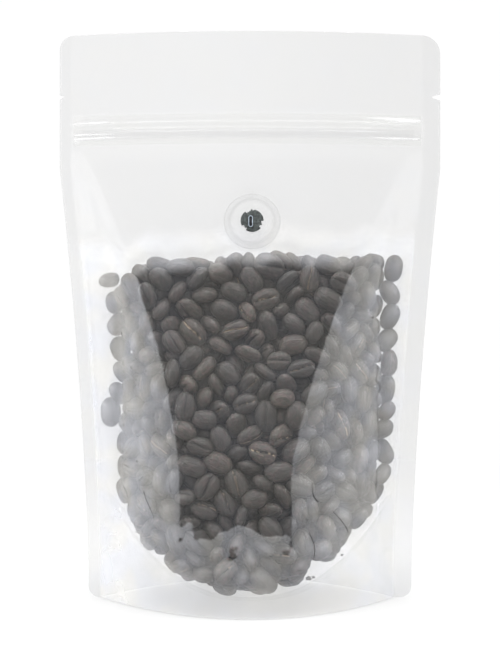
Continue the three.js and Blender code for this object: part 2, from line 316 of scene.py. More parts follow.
def spread(*stops):  # even steps between stops, each stop given as (value, step to the next)
    values = []
    for (start, step), (end, _) in zip(stops, stops[1:]):
        count = max(1, round(abs(end - start) / step))
        values.extend(np.linspace(start, end, count, endpoint=False))
    return np.array(values + [stops[-1][0]])


def filmLevels():
    top = pouchForm["height"]
    arc = np.linspace(0, math.pi / 2, 9)
    foot = filmSheet["cornerBottom"] * (1 - np.cos(arc))[1:]
    corner = filmSheet["cornerRight"]
    crown = top - corner * (1 - np.sin(arc))[1:]
    low = zipForm["height"] - zipForm["tape"] / 2 - 1.2
    high = zipForm["height"] + zipForm["tape"] / 2 + 1.2
    notch = filmSheet["notchHeight"]
    belowZip = [(foot[-1], 1.2), (low, 0.3)]
    middle = spread(*belowZip, (high, 1.4), (notch - 1.5, 0.25), (notch + 1.5, 1.6), (top - corner, 1))
    return np.concatenate([[0.02], foot[:-1], middle[:-1], [top - corner], crown])


def closedSheet(outer, inner):  # a thin closed shell from two grids of points
    rows, cols = outer.shape[:2]
    index = np.arange(rows * cols).reshape(rows, cols)
    front = np.stack([index[:-1, :-1], index[:-1, 1:], index[1:, 1:], index[1:, :-1]], -1).reshape(-1, 4)
    rim = np.concatenate([index[0], index[1:, -1], index[-1, -2::-1], index[-2:0:-1, 0]])
    after = np.roll(rim, -1)
    sides = np.stack([after, rim, rim + rows * cols, after + rows * cols], -1)
    points = np.concatenate([outer.reshape(-1, 3), inner.reshape(-1, 3)])
    return points, np.concatenate([front, front[:, ::-1] + rows * cols, sides])


def panelGrid(face, inset=0.0):
    z = filmLevels()[:, None]
    t = np.linspace(-1, 1, filmSheet["columns"] + 1)[None]
    x = np.where(t < 0, t * outlineEdge(-1, z), t * outlineEdge(1, z))
    z = z + 0 * t
    step = 0.2
    y = filmY(x, z, face)
    slopeX = (filmY(x + step, z, face) - filmY(x - step, z, face)) / (2 * step)
    slopeZ = (filmY(x, z + step, face) - filmY(x, z - step, face)) / (2 * step)
    depth = inset * np.minimum(np.sqrt(1 + slopeX**2 + slopeZ**2), 1.8)
    return np.stack([x, y - face * depth, z], -1)


paintedReflectionForm = {  # where the film shows the softboxes: a painted reflection, put in as milky haze, as shares of the densest one
    "left": (0.31, 0.95),  # by the crease and by the fin
    "right": (0.26, 0.72),
    "higher": 0.42,  # how much denser it is towards the top of the heap
    "top": 176,  # no painted reflection from here up
    "topFade": 24,
    "line": 29,  # height of the ragged edge of the lower painted reflection
    "low": (0.36, 0.58),  # in the middle and towards the sides
    "paintedCrestReflection": 0.46,  # painted reflection where the film lies over the top of the heap
    "window": 0.03,  # between the creases, where the beans are seen best
}


def paintedLightTones(x, z):
    p = paintedReflectionForm
    out = np.abs(x)
    left = np.asarray(x) < 0
    crease, fin = creaseEdge(x, z), finLine(x, z)
    along = np.clip((out - crease) / np.maximum(fin - crease, 4), 0, 1)
    inner = np.where(left, p["left"][0], p["right"][0])
    outer = np.where(left, p["left"][1], p["right"][1])
    overHeap = 1 - 0.9 * smooth((z - heapTop(x)) / 10)
    inner = inner * (1 + p["higher"] * smooth((z - 75) / 40))
    paintedSideReflection = (inner + (outer - inner) * along) * smooth((p["top"] - z) / p["topFade"]) * overHeap
    low = p["low"][0] + (p["low"][1] - p["low"][0]) * smooth((out - 12) / 30)
    line = p["line"] + 2 * ripple(x, 0 * z, 26, 11) + 5 * smooth((out - 8) / 16)
    weld = smooth((out - sealEdge(x, z)) / 0.6 + 0.5)
    top = heapTop(x)
    paintedCrestReflection = p["paintedCrestReflection"] * smooth((z - top + 7.5) / 6) * smooth((top + 12 - z) / 8)
    rightHand = 0.6 * smooth((x + 30) / 100) * (0.3 + 0.7 * smooth((z - 40) / 60))
    bulged = 0.45 * smooth((pouchForm["bulgeTop"] - z) / 8) * smooth((crease - out) / 12 + 0.5)
    return {
        "paintedSideReflection": paintedSideReflection,
        "paintedLowReflection": low,
        "pastCrease": out - crease,
        "pastFin": out - fin,
        "underLine": line - z,
        "paintedCrestReflection": np.maximum(paintedCrestReflection, p["window"] * smooth((top - z) / 4)),
        "right": 1 - left,
        "shade": rightHand + bulged + 0.35 * weld,
        "weld": weld,
        # where the painted shade lines may fall
        "shadeLineZone": smooth((z - baseSealHeight(x) - 5) / 3) * smooth((52 - z) / 8) * smooth((out - 18) / 6),
    }


def gapToBeans(grid, face, heap):  # straight in from a panel, and none outside the heap
    x, z = grid[..., 0], grid[..., 2]
    gap = np.full(x.shape, filmSheet["atBean"])
    inHeap = (z < heapTop(x) + 1) & (z > baseSealHeight(x) + 1.5) & (np.abs(x) < sealEdge(x, z) - 2)
    for row, column in np.argwhere(inHeap):
        hit = heap.ray_cast(grid[row, column].tolist(), (0, -face, 0), 4)
        gap[row, column] = hit[3] if hit[0] else 4
    return gap


def makeFilm(heap):
    material = clearFilm()
    p = filmSheet
    for face, name in ((-1, "film_front"), (1, "film_back")):
        outer = panelGrid(face)
        inner = panelGrid(face, p["thickness"])
        gap = gapToBeans(outer, face, heap)
        sunk = blurred(np.clip(gap - p["atBean"], 0, p["giveWay"]), 3)
        sunk = np.minimum(sunk, np.maximum(gap - p["atBean"] + 0.12, 0))
        outer[..., 1] -= face * sunk
        inner[..., 1] -= face * sunk
        points, faces = closedSheet(outer, inner)
        if face > 0:
            faces = faces[:, ::-1]
        tones = paintedLightTones(points[:, 0], points[:, 2])
        touch = blurred(1 - smooth((gap - p["atBean"]) / 1.8), 1).ravel()
        for key in ("paintedSideReflection", "paintedLowReflection"):  # the painted reflection is stronger where the film lies on a bean
            tones[key] = tones[key] * (0.8 + 0.28 * np.tile(touch, 2))
        makePiece(name, points, faces, material, ["pouch"], tones)
    makeGusset()


gussetForm = {
    "columns": 96,
    "freeSteps": 30,
    "weldSteps": 10,
    "thickness": 0.1,
    "clearance": 0.05,  # to the panel that it is welded to
}


def makeGusset():
    p = gussetForm
    reach = pouchForm["baseHalfWidth"] - pouchForm["sealRight"] - 0.6
    x = np.linspace(-reach, reach, p["columns"] + 1)[:, None]
    seal = baseSealHeight(x)
    sheets = []
    for inset in (0, p["thickness"]):
        gap = filmSheet["thickness"] + p["clearance"] + inset
        up = np.linspace(0, 1, p["weldSteps"] + 1)[None, :-1]
        weldZ = 0.15 + (seal - 0.15) * up
        across = np.linspace(-1, 1, p["freeSteps"] + 1)[None]
        freeZ = np.maximum(gussetHeight(x, across), 0.15) + inset * (1 - across**2)
        freeY = across * (filmY(x, freeZ, 1) - gap * 1.3)
        weldY = filmY(x, weldZ, 1) - gap * 1.3
        y = np.concatenate([-weldY, freeY, weldY[:, ::-1]], 1)
        z = np.concatenate([weldZ, freeZ, weldZ[:, ::-1]], 1)
        sheets.append(np.stack([x + 0 * y, y, z], -1))
    points, faces = closedSheet(*sheets)
    weld = smooth((baseSealHeight(points[:, 0]) - points[:, 2]) / 0.8 + 0.5)
    makePiece("film_gusset", points, faces, gussetFilm(), ["pouch"], {"weld": weld})


filmLook = {
    "haze": "#ebedf3",
    "hazeWarm": "#f1f0ed",
    "passed": "#fbfbfb",  # what one face lets through
    "passedShaded": "#f9f9f9",
    "thin": 0.012,  # haze where the film is clearest
    "paintedReflectionPeak": 0.25,  # haze share where the painted reflection is densest
    "straight": 0.006,  # mirrored at right angles
    "grazing": 0.32,
}


# blown laminate of PET and PE: glossy and clear, with a painted reflection of the lights, put in as a
# milky haze, where it leans towards a light
def clearFilm():
    look = filmLook
    material, add = newMaterial("clearLaminateFilm")
    place = add("TexCoord", out="Object")
    tone = {}
    for key in paintedLightTones(np.zeros(1), np.zeros(1)):
        tone[key] = add("Attribute", out="Fac", attribute_name=key)
    cloud = add("TexNoise", {"Vector": place, "Scale": 1 / (10 * mm), "Detail": 2.0})
    uneven = add("MapRange", [cloud, 0.3, 0.7, 0.82, 1.18])
    wander = add("TexNoise", {"Vector": place, "Scale": 1 / (9 * mm), "Detail": 1.0})
    ragged = add("TexNoise", {"Vector": place, "Scale": 1 / (8.5 * mm), "Detail": 2.0, "Roughness": 0.4})

    # the painted reflection starts sharply at the crease, and its edges wander a little
    crease = add("Math", [wander, 2.4, tone["pastCrease"]], "MULTIPLY_ADD")
    pastCrease = add("MapRange", [crease, 0.9, 1.5])
    fin = add("Math", [wander, 5.0, tone["pastFin"]], "MULTIPLY_ADD")
    pastFin = add("Math", [tone["right"], -0.24, 0.98], "MULTIPLY_ADD")
    insideFin = add("MapRange", [fin, 2.4, 3.2, 1.0, pastFin])
    finOff = add("Math", [fin, 2.2, 0.3], "COMPARE")
    finOff = add("Math", [finOff, tone["right"]], "MULTIPLY")
    finCrack = add("Math", [finOff, -0.5, 1.0], "MULTIPLY_ADD")
    side = tone["paintedSideReflection"]
    for share in (pastCrease, insideFin, finCrack):
        side = add("Math", [side, share], "MULTIPLY")

    # lower down the film hangs loose, and its painted reflection ends in a torn-looking line
    line = add("Math", [ragged, 40.0, tone["underLine"]], "MULTIPLY_ADD")
    under = add("MapRange", [line, 19.8, 20.8])
    low = add("Math", [tone["paintedLowReflection"], under], "MULTIPLY")
    both = add("Math", [side, low], "MAXIMUM")
    both = add("Math", [both, tone["paintedCrestReflection"]], "MAXIMUM")

    # fine dark lines of painted shade, where the painted reflection breaks, round patches where the film
    # clings to the beans
    patch = add("TexNoise", {"Vector": place, "Scale": 1 / (17 * mm), "Detail": 0.0})
    ring = add("Math", [patch, 0.5, 0.008], "COMPARE")
    broken = add("MapRange", [cloud, 0.47, 0.53])
    shadeLines = add("Math", [ring, tone["shadeLineZone"]], "MULTIPLY")
    shadeLines = add("Math", [shadeLines, broken], "MULTIPLY")
    clear = add("Math", [shadeLines, -0.7, 1.0], "MULTIPLY_ADD")
    both = add("Math", [both, clear], "MULTIPLY")
    loose = add("Math", [tone["weld"], -0.85, 1.0], "MULTIPLY_ADD")
    both = add("Math", [both, loose], "MULTIPLY")

    # haze share: a faint real haze, plus the painted reflection of the lights
    share = add("MapRange", [both, 0, 1, look["thin"], look["paintedReflectionPeak"]])
    haze = add("Math", [share, uneven], "MULTIPLY", use_clamp=True)
    fine = add("TexNoise", {"Vector": place, "Scale": 1 / (1.6 * mm), "Detail": 1.0})
    relief = add("Bump", {"Height": fine, "Strength": 0.06, "Distance": 0.05 * mm})
    passed = add(
        "Mix", {"Factor": tone["shade"], "A": look["passed"], "B": look["passedShaded"]}, data_type="RGBA"
    )
    # painted shade: the lines also let less light through
    dim = add("Math", [shadeLines, -0.3, 1.0], "MULTIPLY_ADD")
    passed = add("VectorMath", {0: passed, "Scale": dim}, "SCALE")
    through = add("BsdfTransparent", {"Color": passed})
    warmth = add("TexNoise", {"Vector": place, "Scale": 1 / (12 * mm), "Detail": 1.0})
    warm = add("MapRange", [warmth, 0.4, 0.6])
    white = add("Mix", {"Factor": warm, "A": look["haze"], "B": look["hazeWarm"]}, data_type="RGBA")
    milk = add("BsdfDiffuse", {"Normal": relief, "Color": white})
    body = add("MixShader", [haze, through, milk])
    facing = add("LayerWeight", {"Normal": relief, "Blend": 0.5}, out="Facing")
    curve = add("Math", [facing, 5.0], "POWER")
    shine = add("MapRange", [curve, 0, 1, look["straight"], look["grazing"]])
    gloss = add("BsdfGlossy", {"Normal": relief, "Roughness": 0.12})
    surface = add("MixShader", [shine, body, gloss])
    add("OutputMaterial", {"Surface": surface})
    return material


# the same laminate: the weld to a panel has made the two one, so it is hardly seen there
def gussetFilm():
    material, add = newMaterial("clearLaminateGusset")
    weld = add("Attribute", out="Fac", attribute_name="weld")
    place = add("TexCoord", out="Object")
    cloud = add("TexNoise", {"Vector": place, "Scale": 1 / (14 * mm), "Detail": 2.0})
    haze = add("MapRange", [cloud, 0.3, 0.7, 0.012, 0.03])
    seen = add("MapRange", [weld, 0, 1, 1.0, 0.15])
    share = add("Math", [haze, seen], "MULTIPLY")
    passed = add(
        "Mix",
        {"Factor": weld, "A": [0.966, 0.966, 0.963, 1], "B": [0.995, 0.995, 0.994, 1]},
        data_type="RGBA",
    )
    through = add("BsdfTransparent", {"Color": passed})
    milk = add("BsdfDiffuse", {"Color": filmLook["haze"]})
    body = add("MixShader", [share, through, milk])
    facing = add("LayerWeight", {"Blend": 0.5}, out="Facing")
    curve = add("Math", [facing, 5.0], "POWER")
    shine = add("Math", [curve, 0.4], "MULTIPLY")
    shine = add("Math", [shine, seen], "MULTIPLY")
    gloss = add("BsdfGlossy", {"Roughness": 0.12})
    surface = add("MixShader", [shine, body, gloss])
    add("OutputMaterial", {"Surface": surface})
    return material


# zip

def makeZip():
    material = zipTape()
    p = zipForm
    up = spread((-p["tape"] / 2, 0.25), (p["tape"] / 2, 1))[:, None]
    for face, name, node in ((-1, "zip_tape_front", "zip_front"), (1, "zip_tape_back", "zip_back")):
        ends = [sealEdge(side, p["height"]) - p["endMargin"] for side in (-1, 1)]
        x = np.linspace(-ends[0], ends[1], 121)[None]
        z = p["height"] + up + 0 * x
        x = x + 0 * z
        reach = zipReach(x, z)
        outer = midToFilm(x, z) + zipRelief(x, z) - filmSheet["thickness"] - 0.05
        if face < 0:  # the bead of the press-to-close track
            inner = 0.12 - 0.5 * bump(up / 1.1) * reach
        else:  # the groove that takes it, between two lips
            inner = 0.12 + 0.75 * bump(up / 1.9) * (np.abs(up) < 1.4) * reach
        inner = np.minimum(inner, outer - 0.06)
        sheets = [np.stack([x, face * side - bow(x, z), z], -1) for side in (outer, inner)]
        points, faces = closedSheet(*sheets)
        if face > 0:
            faces = faces[:, ::-1]
        x, _, z = points.T
        middle, half, edge = p["track"]
        track = smooth((half - np.abs(z - p["height"] - middle)) / edge) * (0.4 + 0.6 * zipReach(x, z))
        # where the painted highlights of the zip fall, near its ends
        highlightNearEnd = 1 - smooth((np.minimum(x + ends[0], ends[1] - x) - 4) / 26)
        makePiece(name, points, faces, material, [node], {"track": track, "highlightNearEnd": highlightNearEnd})


def zipTape():  # extruded LDPE: a little darker along the track, with painted highlights as bright streaks at the ends
    look = {"body": "#fbfcfc", "tint": 0.968, "plain": 0.01, "paintedHighlightShare": 0.4}
    material, add = newMaterial("extrudedLdpeZip")
    track = add("Attribute", out="Fac", attribute_name="track")
    highlightNearEnd = add("Attribute", out="Fac", attribute_name="highlightNearEnd")
    place = add("TexCoord", out="Object")
    stretched = add("Mapping", {"Vector": place, "Scale": (0.03, 0, 1)})
    drawn = add("TexNoise", {"Vector": stretched, "Scale": 1 / (1.3 * mm), "Detail": 1.0})
    paintedStreakMask = add("MapRange", [drawn, 0.6, 0.7])
    # painted highlight: the opaque white share rises along streaks near the ends
    lit = add("Math", [paintedStreakMask, highlightNearEnd], "MULTIPLY")
    share = add("MapRange", [lit, 0, 1, look["plain"], look["paintedHighlightShare"]])
    relief = add("Bump", {"Height": drawn, "Strength": 0.1, "Distance": 0.06 * mm})
    tint = add(
        "Mix",
        {"Factor": track, "A": [0.99, 0.99, 0.988, 1], "B": [look["tint"]] * 3 + [1]},
        data_type="RGBA",
    )
    through = add("BsdfTransparent", {"Color": tint})
    solid = add(
        "BsdfPrincipled", {"Normal": relief, "Base Color": look["body"], "Roughness": 0.25, "IOR": 1.51}
    )
    surface = add("MixShader", [share, through, solid])
    add("OutputMaterial", {"Surface": surface})
    return material


# valve

def onValve(points):  # from the valve's own axes, with height along the normal of the film
    p = valveForm
    below, seat, above = [
        float(-p["stand"] - bulge(z) * fullness(p["x"], z) - bow(p["x"], z))
        for z in (p["z"] - 5, p["z"], p["z"] + 5)
    ]
    lean = math.atan2(above - below, 10)
    x, up, out = np.asarray(points, dtype=float).T
    y = seat + up * math.sin(lean) - out * math.cos(lean)
    return np.stack([p["x"] + x, y, p["z"] + up * math.cos(lean) + out * math.sin(lean)], -1)


def makeValveRing():
    profile = valveForm["profile"]
    turn = np.linspace(0, 2 * math.pi, 96, endpoint=False)
    rings = [levelRing(turn, radius, height) for radius, height in profile[1:-1]]
    points, faces = closedRings(rings, [[0, 0, profile[0][1]], [0, 0, profile[-1][1]]])
    out = np.hypot(points[:, 0], points[:, 1])
    edges = valveForm["edges"]
    # painted shade at the steps, where light is refracted away
    tones = {"rings": sum(dark * np.exp(-(((out - radius) / wide) ** 2)) for radius, wide, dark in edges)}
    makePiece("valve_ring", onValve(points), faces, valvePlastic(), ["valve_body"], tones)


def makeMembrane():
    p = valveForm
    rng = np.random.default_rng(12)
    degrees = np.linspace(0, 360, 240, endpoint=False)
    radius = np.full(240, p["membraneRadius"])
    for angle, width, depth in p["bites"]:
        away = np.abs((degrees - angle + 180) % 360 - 180)
        jag = 1 + 0.4 * np.convolve(rng.normal(0, 1, 240), [0.25, 0.5, 0.25], "same")
        radius -= depth * smooth((1 - away / width) * 8) * jag
    low, high = p["membrane"]
    turn = np.radians(degrees)
    rim = [(1, low), (1, high - 0.05), (0.985, high)]
    rings = [levelRing(turn, radius * share, height) for share, height in rim]
    rings += [levelRing(turn, p["membraneRadius"] * share, high) for share in (0.8, 0.4)]
    points, faces = closedRings(rings, [[0, 0, low], [0, 0, high]])
    makePiece("valve_disc", onValve(points), faces, membraneRubber(), ["valve_membrane"])


def makeSlot():  # a rounded lip round a long hole
    p = valveForm["bead"]
    half = (p["length"] - p["width"]) / 2
    turn = np.linspace(0, 2 * math.pi, 64, endpoint=False)
    index = np.arange(12 * 64).reshape(12, 64)
    after = np.roll(index, -1, 1)

    def loop(reach, height):
        z = reach * np.sin(turn) + np.where(np.sin(turn) >= 0, half, -half) + p["z"]
        return np.stack([reach * np.cos(turn) + p["x"], z, 0 * turn + height], -1)

    low, high = p["height"]
    centre = (p["width"] - p["thick"]) / 2
    points = []
    for part in np.linspace(0, 2 * math.pi, 12, endpoint=False):
        height = (low + high) / 2 + (high - low) / 2 * math.sin(part)
        points.append(loop(centre + p["thick"] / 2 * math.cos(part), height))
    faces = np.stack([index, after, np.roll(after, -1, 0), np.roll(index, -1, 0)], -1).reshape(-1, 4)
    # moulded PE: pale blue-grey, satin
    lip = mottledPlastic("mouldedPeSlotLip", "#6f7984", "#a3aeb9", 1.2, 0.35)
    makePiece("valve_bead", onValve(np.concatenate(points)), faces, lip, ["valve_slot"])

    reach = p["width"] / 2 - p["thick"] * 0.7
    points = np.concatenate([loop(reach, low), loop(reach, low + 0.08)])
    faces = np.stack([index[0], after[0], after[0] + 64, index[0] + 64], -1).tolist()
    faces += [index[0, ::-1].tolist(), (index[0] + 64).tolist()]
    # painted shade in the opening under the lip: a thin black sheet over the cut rubber, with a little
    # grain
    hole = mottledPlastic("valveSlotPaintedShade", "#060608", "#141419", 0.8, 0.8)
    makePiece("valve_opening", onValve(points), faces, hole, ["valve_slot"])


def valvePlastic():  # moulded natural PE: milky and see-through, with painted shade where it stands on edge at its steps
    look = {"body": "#f3f4f3", "passed": 0.984, "paintedStepShade": 0.86, "milk": 0.03}
    material, add = newMaterial("mouldedNaturalPeValve")
    rings = add("Attribute", out="Fac", attribute_name="rings")
    place = add("TexCoord", out="Object")
    cloud = add("TexNoise", {"Vector": place, "Scale": 1 / (3 * mm), "Detail": 2.0})
    tint = add(
        "Mix",
        {"Factor": rings, "A": [look["passed"]] * 3 + [1], "B": [look["paintedStepShade"]] * 3 + [1]},
        data_type="RGBA",
    )
    milk = add("Math", [cloud, look["milk"] * 2], "MULTIPLY")
    through = add("BsdfTransparent", {"Color": tint})
    solid = add("BsdfPrincipled", {"Base Color": look["body"], "Roughness": 0.5, "IOR": 1.51})
    surface = add("MixShader", [milk, through, solid])
    add("OutputMaterial", {"Surface": surface})
    return material


def membraneRubber():  # a cut rubber disc under an oil film: near black, mottled grey-green
    look = {"dark": "#050707", "pale": "#434b49", "mottle": 0.8}  # coarser than it is, to show
    material, add = newMaterial("oiledRubberMembrane")
    place = add("TexCoord", out="Object")
    mottle = add(
        "TexNoise",
        {"Vector": place, "Scale": 1 / (look["mottle"] * mm), "Detail": 3.0, "Roughness": 0.65},
    )
    patch = add("MapRange", [mottle, 0.35, 0.68])
    skin = add("Mix", {"Factor": patch, "A": look["dark"], "B": look["pale"]}, data_type="RGBA")
    relief = add("Bump", {"Height": mottle, "Strength": 0.4, "Distance": 0.05 * mm})
    shader = add("BsdfPrincipled", {"Base Color": skin, "Normal": relief, "Roughness": 0.6, "IOR": 1.52})
    add("OutputMaterial", {"Surface": shader})
    return material


def mottledPlastic(name, dark, pale, grain, roughness):
    material, add = newMaterial(name)
    place = add("TexCoord", out="Object")
    cloud = add("TexNoise", {"Vector": place, "Scale": 1 / (grain * mm), "Detail": 1.0})
    skin = add("Mix", {"Factor": cloud, "A": dark, "B": pale}, data_type="RGBA")
    shader = add("BsdfPrincipled", {"Base Color": skin, "Roughness": roughness})
    add("OutputMaterial", {"Surface": shader})
    return material


# beans

heapForm = {
    "spacing": 11.45,  # edge of the cell that holds four beans
    "rounds": 150,
    "coreDepth": 10.5,  # bean centres lie no deeper than this
    "film": 0.35,  # from the form to the inside of the film
    "level": 134.2,
    "humps": [(8, 22, 2.5), (49, 8, 3)],  # where the top is higher: x, width and height
    "dip": (-50, 7, 5),
    "hungUp": 3.5,  # on the right the beans have not slid all the way down to the gusset
    "bridging": 4.8,  # unevenness of the lowest beans
    "flatShare": 0.45,  # beans that settle with a flat side to the film
    "finLeft": (47.4, 53.6),  # middle of the outermost beans, low down and at the top
    "finRight": (51.0, 55.3),
    "finColumns": 7.6,  # from the outer column to the inner one
    "keepOff": 5.8,  # the other beans start no nearer to these
    "creep": {"down": 0.03, "toFilm": 0.05, "aside": 0.06, "turn": 0.08},  # in each round, dying away
    "ballRadius": 2.8,
    "balls": [(2.5, 0), (-2.5, 0), (1.1, 1.25), (1.1, -1.25), (-1.1, 1.25), (-1.1, -1.25)],
    "seed": 7,
}

beanForm = {
    "halfLength": 5.5,
    "halfWidth": 4.0,
    "back": 3.35,
    "face": 2.4,
    "groove": 0.85,
    "grooveWidth": 0.3,
    "rings": 11,
    "variants": 24,
    "clearance": 0.12,  # to the inside of the film
}

beanKinds = {  # share of the heap, and how the roast came out
    "beans_dark": {"share": 0.42, "skin": "#2d2a28", "chaff": "#6d6053", "spread": 0.24},
    "beans_brown": {"share": 0.40, "skin": "#363230", "chaff": "#8a7a68", "spread": 0.24},
    "beans_pale": {"share": 0.18, "skin": "#433e3b", "chaff": "#a8977f", "spread": 0.26},
}


def heapTop(x):
    p = heapForm
    humps = sum(high * np.exp(-(((x - at) / wide) ** 2)) for at, wide, high in p["humps"])
    at, wide, deep = p["dip"]
    return p["level"] + (humps + ripple(x, 0 * x, 15, 4)) - deep * np.exp(-(((x - at) / wide) ** 2))


def gussetFloor(x, y, loose):  # the beans lie loose on the gusset film, with air under some
    seal = baseSealHeight(x)
    wall = np.maximum(filmY(x, seal, 1), 1)
    above = heapForm["hungUp"] * smooth((x - 8) / 16)
    above = above + heapForm["bridging"] * (0.5 + 0.5 * ripple(x, 0.3 * y, 9, 21))
    return np.maximum(gussetHeight(x, np.clip(np.abs(y) / wall, 0, 1)), 0.4) + above * loose


def panelDepth(x, z, face):
    return bulge(z) * fullness(x, z) + 0.4 - face * bow(x, z)


def wallGaps(points, loose=1):  # how far each point is from front, back and gusset, with the ways back in
    x, y, z = points[..., 0], points[..., 1], points[..., 2]
    step = 0.25
    gaps, ways = [], []
    for face in (-1, 1):
        depth = panelDepth(x, z, face)
        slopeX = (panelDepth(x + step, z, face) - depth) / step
        slopeZ = (panelDepth(x, z + step, face) - depth) / step
        gaps.append(depth - face * y)
        ways.append(np.stack([slopeX, 0 * x - face, slopeZ], -1))
    low = gussetFloor(x, y, loose)
    slopeX = (gussetFloor(x + step, y, loose) - low) / step
    slopeY = (gussetFloor(x, y + step, loose) - low) / step
    gaps.append(z - low)
    ways.append(np.stack([-slopeX, -slopeY, np.ones_like(x)], -1))
    size = np.linalg.norm(ways, axis=-1)
    return np.stack(gaps) / size - heapForm["film"], np.stack(ways) / size[..., None]


def depthInHeap(points):  # the nearest wall or the top, and the way in from it
    gaps, ways = wallGaps(points)
    gaps = np.concatenate([gaps, (heapTop(points[..., 0]) - points[..., 2])[None]])
    ways = np.concatenate([ways, np.broadcast_to([0.0, 0.0, -1.0], points.shape)[None]])
    near = gaps.argmin(0)
    depth = np.take_along_axis(gaps, near[None], 0)[0]
    way = np.take_along_axis(ways, near[None, ..., None], 0)[0]
    return depth, way, near


def nearestTurns(matrices):
    u, _, v = np.linalg.svd(matrices)
    u[:, :, 2] *= np.sign(np.linalg.det(u @ v))[:, None]
    return u @ v


def finBeans(rng):  # two columns of beans in each fin, lying flat between the two panels
    spots = []
    for side, (low, high) in ((-1, heapForm["finLeft"]), (1, heapForm["finRight"])):
        for inner in (0, heapForm["finColumns"]):
            z = float(heapTop(side * high)) - 4.5 - inner / 2
            while z > float(baseSealHeight(low - inner)) + 6:
                reach = side * (low - inner + (high - low) * (z - 40) / 85 + rng.uniform(-1.4, 1.4))
                spots.append((reach, -float(bow(reach, z)), z))
                z -= rng.uniform(7.8, 10.2)
    return np.array(spots)


def settleBeans():  # each bean is six balls in one plane, kept rigid, pushed off the rest and the film
    p = heapForm
    rng = np.random.default_rng(p["seed"])
    cell = p["spacing"]
    axes = [np.arange(-68, 68, cell), np.arange(-38, 38, cell), np.arange(0, 146, cell)]
    lattice = np.stack(np.meshgrid(*axes, indexing="ij"), -1).reshape(-1, 3)
    offsets = cell / 2 * np.array([(0, 0, 0), (1, 1, 0), (1, 0, 1), (0, 1, 1)])
    lattice = (lattice[None] + offsets[:, None]).reshape(-1, 3)
    lattice += rng.uniform(-1.8, 1.8, lattice.shape)
    depth = depthInHeap(lattice)[0]
    spot = lattice[(depth > 1.5) & (depth < p["coreDepth"] + 3)]
    edge = finBeans(rng)
    apart = np.sqrt(((spot[:, None] - edge[None]) ** 2).sum(-1)).min(1)
    spot = np.concatenate([edge, spot[apart > p["keepOff"]]])
    count = len(spot)
    size = rng.normal(0.985, 0.07, count).clip(0.8, 1.12)
    local = np.array([(x, y, 0) for x, y in p["balls"]])[None] * size[:, None, None]
    radius = p["ballRadius"] * size
    reach = 2 * (2.5 + p["ballRadius"]) + 0.8
    turn = nearestTurns(rng.normal(size=(count, 3, 3)))
    roll = rng.uniform(0, math.pi, len(edge))
    flatTurn = np.zeros((len(edge), 3, 3))
    flatTurn[:, 0, 0], flatTurn[:, 2, 0] = np.cos(roll), np.sin(roll)
    flatTurn[:, 0, 1], flatTurn[:, 2, 1] = -np.sin(roll), np.cos(roll)
    flatTurn[:, 1, 2] = -1
    turn[: len(edge)] = nearestTurns(flatTurn + rng.normal(0, 0.12, flatTurn.shape))
    ease = np.ones(count)
    ease[: len(edge)] = 0.25  # the beans in the fins hardly move
    flat = rng.uniform(0, 1, count) < p["flatShare"]
    six = np.arange(6)
    creep = p["creep"]
    for turnNumber in range(p["rounds"]):
        drive = max(0, 1 - 1.3 * turnNumber / p["rounds"])
        ball = spot[:, None] + np.einsum("nij,nkj->nki", turn, local)
        if turnNumber % 6 == 0:
            apart = ((spot[:, None] - spot[None]) ** 2).sum(-1)
            a, b = np.nonzero(np.triu(apart < reach**2, 1))
            slotA, slotB = (a[:, None] * 6 + six).ravel(), (b[:, None] * 6 + six).ravel()
        away = ball[a][:, :, None] - ball[b][:, None]
        far = np.sqrt(np.einsum("pijk,pijk->pij", away, away)) + 1e-9
        over = np.maximum((radius[a] + radius[b])[:, None, None] - far, 0)
        push = away * (over * 0.5 / far)[..., None]
        touching = over > 0
        pushA, pushB = push.sum(2).reshape(-1, 3), push.sum(1).reshape(-1, 3)
        shift = [np.bincount(slotA, pushA[:, k], count * 6) for k in range(3)]
        back = [np.bincount(slotB, pushB[:, k], count * 6) for k in range(3)]
        hits = np.bincount(slotA, touching.sum(2).ravel(), count * 6)
        hits = hits + np.bincount(slotB, touching.sum(1).ravel(), count * 6)
        shift = (np.stack(shift, -1) - np.stack(back, -1)) / np.maximum(hits, 1)[:, None]
        ball += shift.reshape(count, 6, 3) * 1.5 * ease[:, None, None]
        depth, way, near = depthInHeap(spot)
        outward = np.where(near < 3, creep["toFilm"] * drive, 0)
        outward = outward + 0.5 * np.maximum(depth - p["coreDepth"], 0)
        ball -= (way * outward[:, None])[:, None]
        ball[..., 2] -= creep["down"] * drive
        aside = np.sign(spot[:, 0]) * creep["aside"] * drive * (np.abs(spot[:, 0]) > 36)
        ball[..., 0] += aside[:, None]
        ball[..., 2] -= 0.4 * np.maximum(ball[..., 2] + radius[:, None] - heapTop(ball[..., 0]), 0)
        gaps, ways = wallGaps(ball)
        for gap, inward in zip(gaps, ways):
            ball += inward * np.maximum(radius[:, None] - gap, 0)[..., None]
        spot = ball.mean(1)
        turn = nearestTurns(np.einsum("nki,nkj->nij", ball - spot[:, None], local) + 1e-3 * turn)
        thin = turn[:, :, 2]
        side = np.sign((thin * way).sum(-1))[:, None] * way
        lying = (depth < 5.5) & (near < 3) & flat
        swing = np.cross(thin, side) * np.where(lying, creep["turn"] * drive, 0)[:, None]
        turn = nearestTurns(turn + np.cross(swing[:, None], turn.transpose(0, 2, 1)).transpose(0, 2, 1))
    print("settled", count, "beans, mean overlap", round(float(over[touching].mean()), 3), "mm")
    return spot, turn, size


